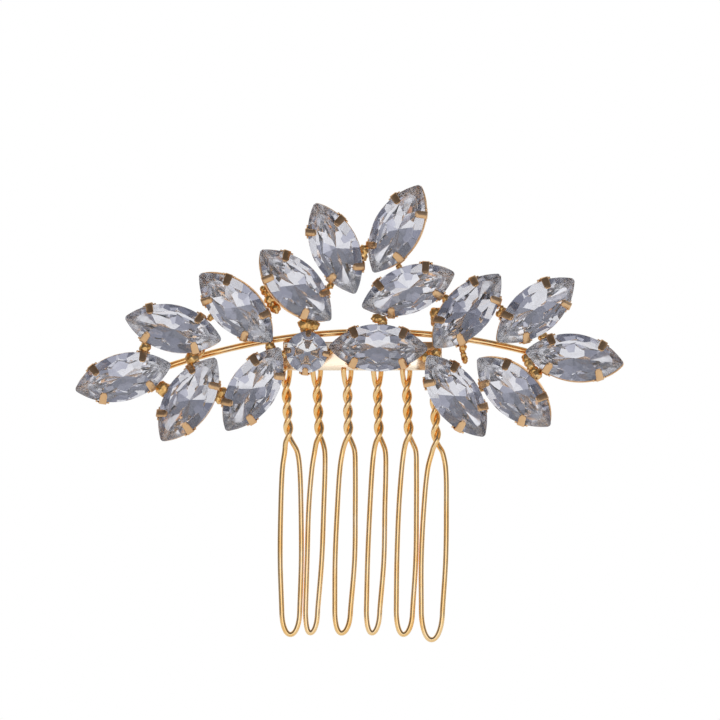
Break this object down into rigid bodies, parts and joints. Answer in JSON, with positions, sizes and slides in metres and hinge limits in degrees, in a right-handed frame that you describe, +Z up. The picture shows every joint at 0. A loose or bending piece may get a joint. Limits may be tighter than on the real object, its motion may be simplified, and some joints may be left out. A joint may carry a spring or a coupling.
{
  "type": "decorative hair comb",
  "caption": "Gold-tone hair comb with a leafy spray of claw-set clear pointed oval stones above a row of twisted wire teeth.",
  "frame": {"origin": "middle of the tooth row, at the comb bar's lower edge and half its thickness", "axes": "+X along the spray to the viewer's right when its stones are seen, +Z up and away from the tooth tips, -Y out of the stones' faces"},
  "size_m": [0.0836, 0.0085, 0.0703],
  "materials": {
    "gold_wire": "bright gold plate on drawn wire",
    "gold_bar": "satin pale gold plate",
    "gold_setting": "antiqued gold plate on stamped sheet",
    "solder": "plated solder, rough",
    "stone_glass": "cut and polished, smoky blue-grey"
  },
  "bodies": {
    "root": {"comb_bar": "gold_bar", "stem_wire": "gold_wire", "solder_joints": "solder", "round_setting": "gold_setting", "round_stone": "stone_glass", "tooth_1": "gold_wire", "tooth_2": "gold_wire", "tooth_3": "gold_wire", "tooth_4": "gold_wire", "tooth_5": "gold_wire", "tooth_6": "gold_wire", "setting_1": "gold_setting", "setting_2": "gold_setting", "setting_3": "gold_setting", "setting_4": "gold_setting", "setting_5": "gold_setting", "setting_6": "gold_setting", "setting_7": "gold_setting", "setting_8": "gold_setting", "setting_9": "gold_setting", "setting_10": "gold_setting", "setting_11": "gold_setting", "setting_12": "gold_setting", "setting_13": "gold_setting", "setting_14": "gold_setting", "setting_15": "gold_setting", "stone_1": "stone_glass", "stone_2": "stone_glass", "stone_3": "stone_glass", "stone_4": "stone_glass", "stone_5": "stone_glass", "stone_6": "stone_glass", "stone_7": "stone_glass", "stone_8": "stone_glass", "stone_9": "stone_glass", "stone_10": "stone_glass", "stone_11": "stone_glass", "stone_12": "stone_glass", "stone_13": "stone_glass", "stone_14": "stone_glass", "stone_15": "stone_glass"}
  },
  "joints": []
}
